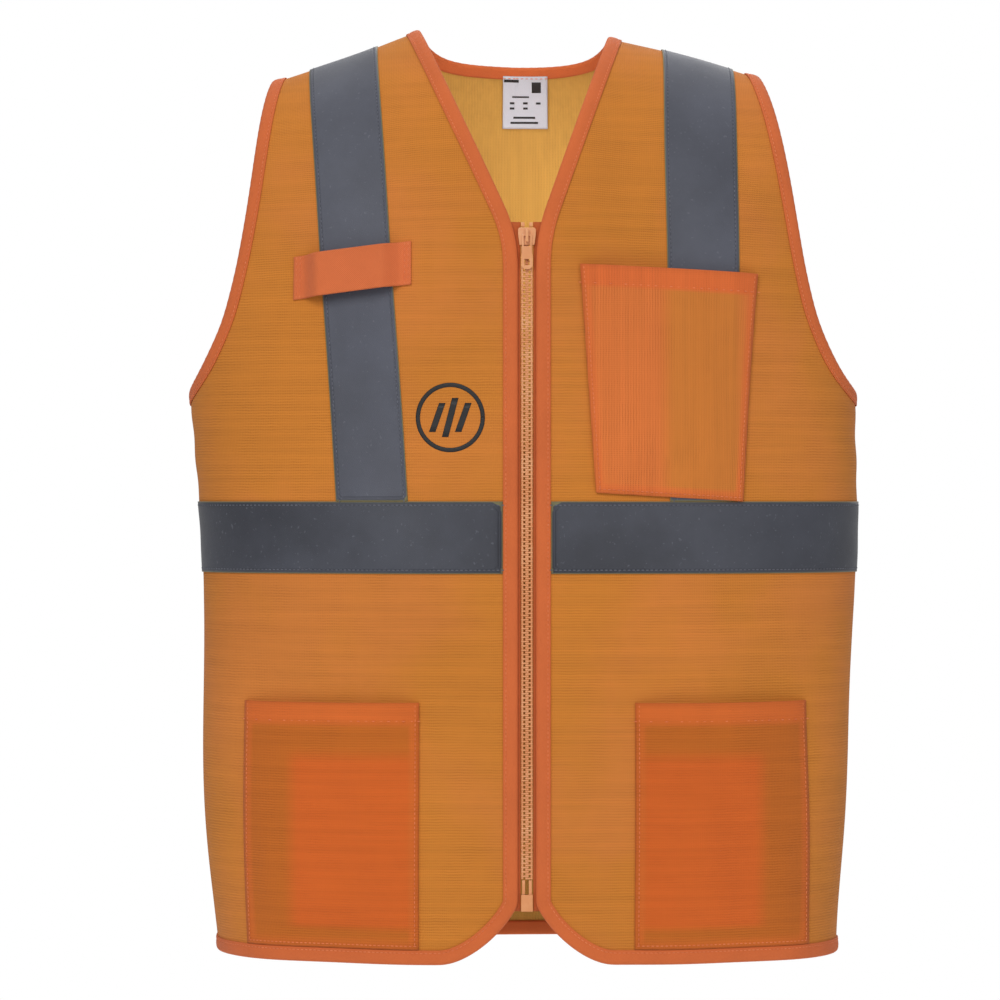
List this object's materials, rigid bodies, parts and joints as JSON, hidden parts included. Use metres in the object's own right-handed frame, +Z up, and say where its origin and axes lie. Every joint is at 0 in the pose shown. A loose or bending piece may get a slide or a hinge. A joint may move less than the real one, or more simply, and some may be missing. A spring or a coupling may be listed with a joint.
{
  "type": "high visibility vest",
  "caption": "Sleeveless mesh safety vest with a front zip, reflective tapes at waist and shoulders, bound edges, patch pockets and a radio tab.",
  "frame": {"origin": "between the shoulders, level with the points where the neck edges meet the shoulder seams, in the plane of those seams", "axes": "+X to the wearer's left, -Y to the wearer's front, +Z up"},
  "size_m": [0.4738, 0.2232, 0.6532],
  "materials": {
    "shell": "matte",
    "binding": "matte",
    "pocket": "matte",
    "tape": "satin",
    "zip_tape": "matte",
    "zip_plastic": "satin",
    "label": "matte"
  },
  "bodies": {
    "vest": {"back_hem_binding": "binding", "back_neck_binding": "binding", "back_panel": "shell", "chest_pocket": "pocket", "insertion_pin": "zip_plastic", "left_armhole_binding_back": "binding", "left_armhole_binding_front": "binding", "left_front_binding": "binding", "left_front_panel": "shell", "left_inner_pocket": "pocket", "left_lower_pocket": "pocket", "left_shoulder_tape_back": "tape", "left_shoulder_tape_front": "tape", "left_top_stop": "zip_plastic", "left_waist_tape_front": "tape", "left_zip_tape": "zip_tape", "left_zip_teeth": "zip_plastic", "radio_tab": "binding", "retainer_box": "zip_plastic", "right_armhole_binding_back": "binding", "right_armhole_binding_front": "binding", "right_front_binding": "binding", "right_front_panel": "shell", "right_inner_pocket": "pocket", "right_lower_pocket": "pocket", "right_shoulder_tape_back": "tape", "right_shoulder_tape_front": "tape", "right_top_stop": "zip_plastic", "right_waist_tape_front": "tape", "right_zip_tape": "zip_tape", "right_zip_teeth": "zip_plastic", "size_label": "label", "waist_tape_back": "tape"},
    "slider": {"slider": "zip_plastic"},
    "pull": {"pull_tab": "zip_plastic"}
  },
  "joints": [
    {"name": "slider_travel", "type": "slide", "parent": "vest", "child": "slider", "axis": [0, 0, -1], "range_m": [0, 0.448], "deforming": ["right_zip_teeth", "left_zip_teeth"]},
    {"name": "pull_swing", "type": "hinge", "parent": "slider", "child": "pull", "pos_m": [0, -0.11335, -0.1484], "axis": [-1, 0, 0], "range_deg": [0, 170]}
  ]
}
